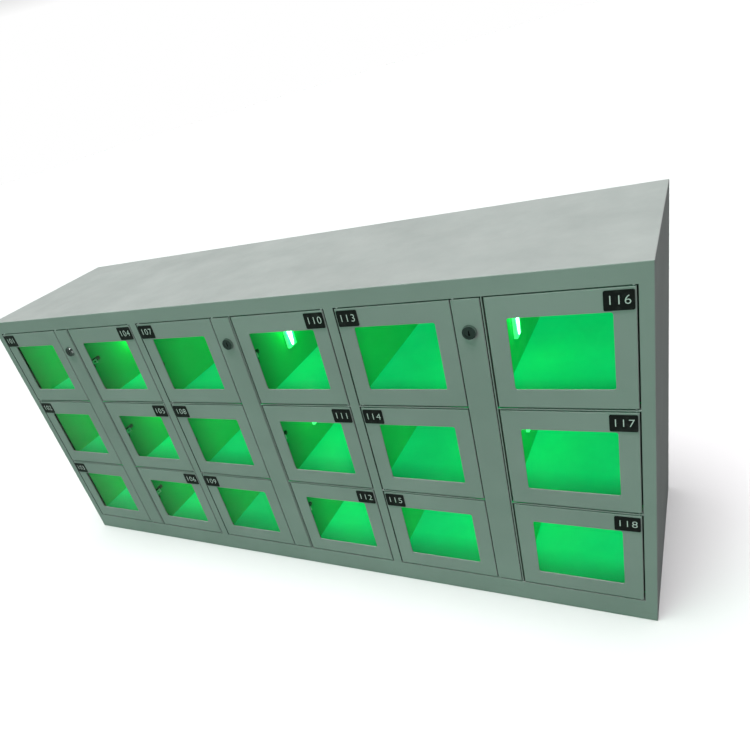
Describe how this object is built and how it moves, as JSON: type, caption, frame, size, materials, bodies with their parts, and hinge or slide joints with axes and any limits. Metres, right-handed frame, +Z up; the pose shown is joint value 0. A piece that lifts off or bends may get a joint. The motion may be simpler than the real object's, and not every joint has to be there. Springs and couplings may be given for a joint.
{
  "type": "phone charging kiosk",
  "caption": "Low steel charging locker with windowed, lit compartments, hinged doors, key-locked access panels, internal latches and charging outlets.",
  "frame": {"origin": "centre of the underside's bounding rectangle, midway between the lock faces in front and the cabinet's rear edge", "axes": "+X to the viewer's right along the width, +Y from the doors towards the rear, +Z up"},
  "size_m": [1.315, 0.348, 0.6],
  "materials": {
    "outer_paint": "satin powder coat, cool grey",
    "liner_paint": "satin grey liner",
    "clear_pane": "clear polycarbonate, glossy",
    "lock_chrome": "polished",
    "dark_plastic": "matte black",
    "lamp_lens": "translucent lens over green light-emitting diodes",
    "pin_steel": "zinc plated",
    "supply_case": "mill",
    "board_green": "solder mask"
  },
  "bodies": {
    "cabinet": {"outer_panels": "outer_paint", "front_frame": "outer_paint", "bottom_panel": "liner_paint", "back_panel": "liner_paint", "divider_plates": "liner_paint", "duct_walls": "liner_paint", "shelves": "liner_paint", "hinge_pins": "pin_steel", "latches": "dark_plastic", "lamps": "lamp_lens", "charging_ports": "dark_plastic", "power_supplies": "supply_case", "control_boards": "board_green", "power_inlet": "dark_plastic", "panel_screws": "pin_steel"},
    "door_01_leaf": {"door_01": "outer_paint", "window_01": "clear_pane"},
    "door_02_leaf": {"door_02": "outer_paint", "window_02": "clear_pane"},
    "door_03_leaf": {"door_03": "outer_paint", "window_03": "clear_pane"},
    "door_04_leaf": {"door_04": "outer_paint", "window_04": "clear_pane"},
    "door_05_leaf": {"door_05": "outer_paint", "window_05": "clear_pane"},
    "door_06_leaf": {"door_06": "outer_paint", "window_06": "clear_pane"},
    "door_07_leaf": {"door_07": "outer_paint", "window_07": "clear_pane"},
    "door_08_leaf": {"door_08": "outer_paint", "window_08": "clear_pane"},
    "door_09_leaf": {"door_09": "outer_paint", "window_09": "clear_pane"},
    "door_10_leaf": {"door_10": "outer_paint", "window_10": "clear_pane"},
    "door_11_leaf": {"door_11": "outer_paint", "window_11": "clear_pane"},
    "door_12_leaf": {"door_12": "outer_paint", "window_12": "clear_pane"},
    "door_13_leaf": {"door_13": "outer_paint", "window_13": "clear_pane"},
    "door_14_leaf": {"door_14": "outer_paint", "window_14": "clear_pane"},
    "door_15_leaf": {"door_15": "outer_paint", "window_15": "clear_pane"},
    "door_16_leaf": {"door_16": "outer_paint", "window_16": "clear_pane"},
    "door_17_leaf": {"door_17": "outer_paint", "window_17": "clear_pane"},
    "door_18_leaf": {"door_18": "outer_paint", "window_18": "clear_pane"},
    "access_1_leaf": {"access_panel_1": "outer_paint", "lock_body_1": "lock_chrome"},
    "lock_1_plug": {"lock_plug_1": "lock_chrome"},
    "access_2_leaf": {"access_panel_2": "outer_paint", "lock_body_2": "lock_chrome"},
    "lock_2_plug": {"lock_plug_2": "lock_chrome"},
    "access_3_leaf": {"access_panel_3": "outer_paint", "lock_body_3": "lock_chrome"},
    "lock_3_plug": {"lock_plug_3": "lock_chrome"}
  },
  "joints": [
    {"name": "door_01_hinge", "type": "hinge", "parent": "cabinet", "child": "door_01_leaf", "pos_m": [-0.635, -0.1665, 0.48433], "axis": [0, 0, -1], "range_deg": [0, 90]},
    {"name": "door_02_hinge", "type": "hinge", "parent": "cabinet", "child": "door_02_leaf", "pos_m": [-0.635, -0.1665, 0.3065], "axis": [0, 0, -1], "range_deg": [0, 90]},
    {"name": "door_03_hinge", "type": "hinge", "parent": "cabinet", "child": "door_03_leaf", "pos_m": [-0.635, -0.1665, 0.12867], "axis": [0, 0, -1], "range_deg": [0, 90]},
    {"name": "door_04_hinge", "type": "hinge", "parent": "cabinet", "child": "door_04_leaf", "pos_m": [-0.23, -0.1665, 0.48433], "axis": [0, 0, 1], "range_deg": [0, 90]},
    {"name": "door_05_hinge", "type": "hinge", "parent": "cabinet", "child": "door_05_leaf", "pos_m": [-0.23, -0.1665, 0.3065], "axis": [0, 0, 1], "range_deg": [0, 90]},
    {"name": "door_06_hinge", "type": "hinge", "parent": "cabinet", "child": "door_06_leaf", "pos_m": [-0.23, -0.1665, 0.12867], "axis": [0, 0, 1], "range_deg": [0, 90]},
    {"name": "door_07_hinge", "type": "hinge", "parent": "cabinet", "child": "door_07_leaf", "pos_m": [-0.2025, -0.1665, 0.48433], "axis": [0, 0, -1], "range_deg": [0, 90]},
    {"name": "door_08_hinge", "type": "hinge", "parent": "cabinet", "child": "door_08_leaf", "pos_m": [-0.2025, -0.1665, 0.3065], "axis": [0, 0, -1], "range_deg": [0, 90]},
    {"name": "door_09_hinge", "type": "hinge", "parent": "cabinet", "child": "door_09_leaf", "pos_m": [-0.2025, -0.1665, 0.12867], "axis": [0, 0, -1], "range_deg": [0, 90]},
    {"name": "door_10_hinge", "type": "hinge", "parent": "cabinet", "child": "door_10_leaf", "pos_m": [0.2025, -0.1665, 0.48433], "axis": [0, 0, 1], "range_deg": [0, 90]},
    {"name": "door_11_hinge", "type": "hinge", "parent": "cabinet", "child": "door_11_leaf", "pos_m": [0.2025, -0.1665, 0.3065], "axis": [0, 0, 1], "range_deg": [0, 90]},
    {"name": "door_12_hinge", "type": "hinge", "parent": "cabinet", "child": "door_12_leaf", "pos_m": [0.2025, -0.1665, 0.12867], "axis": [0, 0, 1], "range_deg": [0, 90]},
    {"name": "door_13_hinge", "type": "hinge", "parent": "cabinet", "child": "door_13_leaf", "pos_m": [0.23, -0.1665, 0.48433], "axis": [0, 0, -1], "range_deg": [0, 90]},
    {"name": "door_14_hinge", "type": "hinge", "parent": "cabinet", "child": "door_14_leaf", "pos_m": [0.23, -0.1665, 0.3065], "axis": [0, 0, -1], "range_deg": [0, 90]},
    {"name": "door_15_hinge", "type": "hinge", "parent": "cabinet", "child": "door_15_leaf", "pos_m": [0.23, -0.1665, 0.12867], "axis": [0, 0, -1], "range_deg": [0, 90]},
    {"name": "door_16_hinge", "type": "hinge", "parent": "cabinet", "child": "door_16_leaf", "pos_m": [0.635, -0.1665, 0.48433], "axis": [0, 0, 1], "range_deg": [0, 90]},
    {"name": "door_17_hinge", "type": "hinge", "parent": "cabinet", "child": "door_17_leaf", "pos_m": [0.635, -0.1665, 0.3065], "axis": [0, 0, 1], "range_deg": [0, 90]},
    {"name": "door_18_hinge", "type": "hinge", "parent": "cabinet", "child": "door_18_leaf", "pos_m": [0.635, -0.1665, 0.12867], "axis": [0, 0, 1], "range_deg": [0, 90]},
    {"name": "access_1_hinge", "type": "hinge", "parent": "cabinet", "child": "access_1_leaf", "pos_m": [-0.4519, -0.167, 0.3065], "axis": [0, 0, -1], "range_deg": [0, 90]},
    {"name": "lock_1_turn", "type": "hinge", "parent": "access_1_leaf", "child": "lock_1_plug", "pos_m": [-0.43455, -0.17, 0.521], "axis": [0, -1, 0], "range_deg": [0, 90]},
    {"name": "access_2_hinge", "type": "hinge", "parent": "cabinet", "child": "access_2_leaf", "pos_m": [-0.0194, -0.167, 0.3065], "axis": [0, 0, -1], "range_deg": [0, 90]},
    {"name": "lock_2_turn", "type": "hinge", "parent": "access_2_leaf", "child": "lock_2_plug", "pos_m": [-0.00205, -0.17, 0.521], "axis": [0, -1, 0], "range_deg": [0, 90]},
    {"name": "access_3_hinge", "type": "hinge", "parent": "cabinet", "child": "access_3_leaf", "pos_m": [0.4131, -0.167, 0.3065], "axis": [0, 0, -1], "range_deg": [0, 90]},
    {"name": "lock_3_turn", "type": "hinge", "parent": "access_3_leaf", "child": "lock_3_plug", "pos_m": [0.43045, -0.17, 0.521], "axis": [0, -1, 0], "range_deg": [0, 90]}
  ]
}
